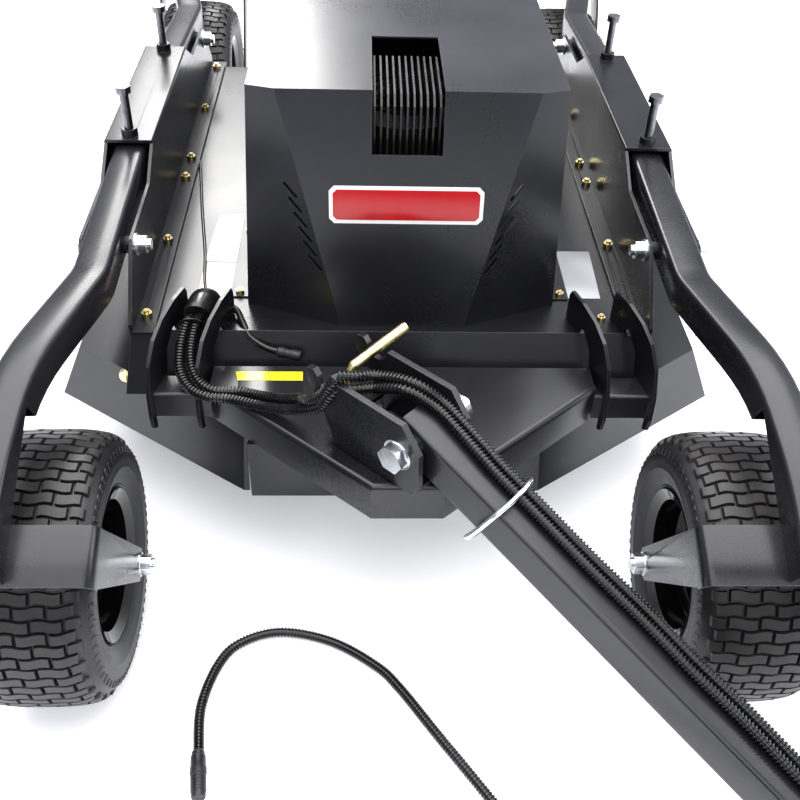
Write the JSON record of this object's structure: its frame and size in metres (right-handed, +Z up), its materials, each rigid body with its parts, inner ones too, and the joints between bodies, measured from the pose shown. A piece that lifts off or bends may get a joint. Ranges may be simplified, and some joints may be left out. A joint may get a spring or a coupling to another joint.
{
  "type": "tow-behind brush mower",
  "caption": "Tow-behind rotary brush mower: black steel deck and engine hood on bent wheel arms with turf tyres, offset swinging tongue, belt-driven swing blades.",
  "frame": {"origin": "bottom centre of the whole machine's bounding box at rest, on the ground", "axes": "+Z up, -Y towards the towing hitch, +X to the right seen from the front"},
  "size_m": [1.4324, 2.634, 0.7704],
  "materials": {
    "belt_rubber": "matte",
    "black_plastic": "satin",
    "black_powder_coat": "satin",
    "blade_steel": "rough",
    "bright_steel": "satin",
    "cast_engine": "rough",
    "cast_iron_grey": "rough",
    "dark_zinc": "satin",
    "flap_rubber": "matte",
    "gloss_black_rim": "gloss",
    "hot_steel": "rough",
    "loom_plastic": "satin",
    "silver_zinc": "satin",
    "tyre_rubber": "matte",
    "yellow_zinc": "satin"
  },
  "bodies": {
    "deck": {"deck_shell": "black_powder_coat", "front_skirt_plate": "black_powder_coat", "rear_flap": "flap_rubber", "side_rails": "black_powder_coat", "height_towers": "black_powder_coat", "front_cross_tube": "black_powder_coat", "nose_frame": "black_powder_coat", "gusset_fins": "black_powder_coat", "frame_bolts": "yellow_zinc", "pivot_bolts": "silver_zinc", "kingpin": "silver_zinc", "deck_loom": "loom_plastic", "hood_shell": "black_powder_coat", "engine_block": "cast_engine", "blower_housing": "black_plastic", "muffler": "hot_steel", "fuel_tank": "black_plastic", "battery": "black_plastic", "idler_bracket": "black_powder_coat", "spindle_housing": "cast_iron_grey", "spindle_bearings": "bright_steel", "drive_belt": "belt_rubber"},
    "fuel_cap": {"fuel_cap": "black_plastic"},
    "hitch_swing": {"hitch_clevis": "black_powder_coat", "clevis_bolt": "silver_zinc"},
    "locking_pin": {"locking_pin": "yellow_zinc"},
    "tongue": {"tongue_tube": "black_powder_coat", "tongue_loom": "loom_plastic", "loom_clip": "silver_zinc"},
    "blade_spindle": {"blade_spindle": "bright_steel", "spindle_pulley": "bright_steel", "blade_carrier": "blade_steel"},
    "swing_blade_a": {"swing_blade_a": "blade_steel"},
    "swing_blade_b": {"swing_blade_b": "blade_steel"},
    "crank": {"crank_pulley": "bright_steel"},
    "idler": {"idler_pulley": "bright_steel"},
    "front_right_arm": {"front_right_arm": "black_powder_coat", "front_right_fork": "black_powder_coat", "front_right_axle_bolt": "silver_zinc"},
    "front_right_wheel": {"front_right_tyre": "tyre_rubber", "front_right_rim": "gloss_black_rim"},
    "front_right_height_screw": {"front_right_height_screw": "dark_zinc"},
    "front_left_arm": {"front_left_arm": "black_powder_coat", "front_left_fork": "black_powder_coat", "front_left_axle_bolt": "silver_zinc"},
    "front_left_wheel": {"front_left_tyre": "tyre_rubber", "front_left_rim": "gloss_black_rim"},
    "front_left_height_screw": {"front_left_height_screw": "dark_zinc"},
    "rear_right_arm": {"rear_right_arm": "black_powder_coat", "rear_right_fork": "black_powder_coat", "rear_right_axle_bolt": "silver_zinc"},
    "rear_right_wheel": {"rear_right_tyre": "tyre_rubber", "rear_right_rim": "gloss_black_rim"},
    "rear_right_height_screw": {"rear_right_height_screw": "dark_zinc"},
    "rear_left_arm": {"rear_left_arm": "black_powder_coat", "rear_left_fork": "black_powder_coat", "rear_left_axle_bolt": "silver_zinc"},
    "rear_left_wheel": {"rear_left_tyre": "tyre_rubber", "rear_left_rim": "gloss_black_rim"},
    "rear_left_height_screw": {"rear_left_height_screw": "dark_zinc"}
  },
  "joints": [
    {"name": "front_right_height", "type": "hinge", "parent": "deck", "child": "front_right_arm", "pos_m": [0.38578, -0.21586, 0.484], "axis": [-1, 0, 0], "range_deg": [0, 9]},
    {"name": "front_right_wheel_spin", "type": "hinge", "parent": "front_right_arm", "child": "front_right_wheel", "pos_m": [0.41978, -0.65786, 0.203], "axis": [1, 0, 0], "continuous": true},
    {"name": "front_right_screw_travel", "type": "slide", "parent": "deck", "child": "front_right_height_screw", "axis": [0, 0, 1], "range_m": [-0.04, 0]},
    {"name": "front_left_height", "type": "hinge", "parent": "deck", "child": "front_left_arm", "pos_m": [-0.54822, -0.21586, 0.484], "axis": [-1, 0, 0], "range_deg": [0, 9]},
    {"name": "front_left_wheel_spin", "type": "hinge", "parent": "front_left_arm", "child": "front_left_wheel", "pos_m": [-0.58222, -0.65786, 0.203], "axis": [1, 0, 0], "continuous": true},
    {"name": "front_left_screw_travel", "type": "slide", "parent": "deck", "child": "front_left_height_screw", "axis": [0, 0, 1], "range_m": [-0.04, 0]},
    {"name": "rear_right_height", "type": "hinge", "parent": "deck", "child": "rear_right_arm", "pos_m": [0.38578, 0.67014, 0.484], "axis": [1, 0, 0], "range_deg": [0, 9]},
    {"name": "rear_right_wheel_spin", "type": "hinge", "parent": "rear_right_arm", "child": "rear_right_wheel", "pos_m": [0.41978, 1.11214, 0.203], "axis": [1, 0, 0], "continuous": true},
    {"name": "rear_right_screw_travel", "type": "slide", "parent": "deck", "child": "rear_right_height_screw", "axis": [0, 0, 1], "range_m": [-0.04, 0]},
    {"name": "rear_left_height", "type": "hinge", "parent": "deck", "child": "rear_left_arm", "pos_m": [-0.54822, 0.67014, 0.484], "axis": [1, 0, 0], "range_deg": [0, 9]},
    {"name": "rear_left_wheel_spin", "type": "hinge", "parent": "rear_left_arm", "child": "rear_left_wheel", "pos_m": [-0.58222, 1.11214, 0.203], "axis": [1, 0, 0], "continuous": true},
    {"name": "rear_left_screw_travel", "type": "slide", "parent": "deck", "child": "rear_left_height_screw", "axis": [0, 0, 1], "range_m": [-0.04, 0]},
    {"name": "hitch_offset_swing", "type": "hinge", "parent": "deck", "child": "hitch_swing", "pos_m": [-0.06522, -0.58136, 0.363], "axis": [0, 0, 1], "range_deg": [-93.6, 0]},
    {"name": "locking_pin_lift", "type": "slide", "parent": "hitch_swing", "child": "locking_pin", "axis": [0, 0, 1], "range_m": [0, 0.03]},
    {"name": "tongue_pitch", "type": "hinge", "parent": "hitch_swing", "child": "tongue", "pos_m": [-0.04322, -0.60186, 0.422], "axis": [-0.6845, -0.729, 0], "range_deg": [0, 35]},
    {"name": "fuel_cap_turn", "type": "hinge", "parent": "deck", "child": "fuel_cap", "pos_m": [-0.06522, 0.34214, 0.76], "axis": [0, 0, 1], "continuous": true},
    {"name": "blade_spin", "type": "hinge", "parent": "deck", "child": "blade_spindle", "pos_m": [-0.06522, 0.22714, 0.3], "axis": [0, 0, 1], "continuous": true},
    {"name": "swing_blade_a_pivot", "type": "hinge", "parent": "blade_spindle", "child": "swing_blade_a", "pos_m": [0.26478, 0.22714, 0.188], "axis": [0, 0, 1], "continuous": true},
    {"name": "swing_blade_b_pivot", "type": "hinge", "parent": "blade_spindle", "child": "swing_blade_b", "pos_m": [-0.39522, 0.22714, 0.188], "axis": [0, 0, 1], "continuous": true},
    {"name": "crank_spin", "type": "hinge", "parent": "deck", "child": "crank", "pos_m": [-0.06522, -0.05786, 0.416], "axis": [0, 0, 1], "continuous": true},
    {"name": "idler_spin", "type": "hinge", "parent": "deck", "child": "idler", "pos_m": [0.03278, 0.08214, 0.416], "axis": [0, 0, 1], "continuous": true}
  ],
  "couplings": [
    {"joint": "front_right_screw_travel", "follows": "front_right_height", "m_per_rad": -0.248},
    {"joint": "front_left_screw_travel", "follows": "front_left_height", "m_per_rad": -0.248},
    {"joint": "rear_right_screw_travel", "follows": "rear_right_height", "m_per_rad": -0.248},
    {"joint": "rear_left_screw_travel", "follows": "rear_left_height", "m_per_rad": -0.248},
    {"joint": "crank_spin", "follows": "blade_spin", "ratio": 1.3519},
    {"joint": "idler_spin", "follows": "blade_spin", "ratio": -2.4333}
  ]
}
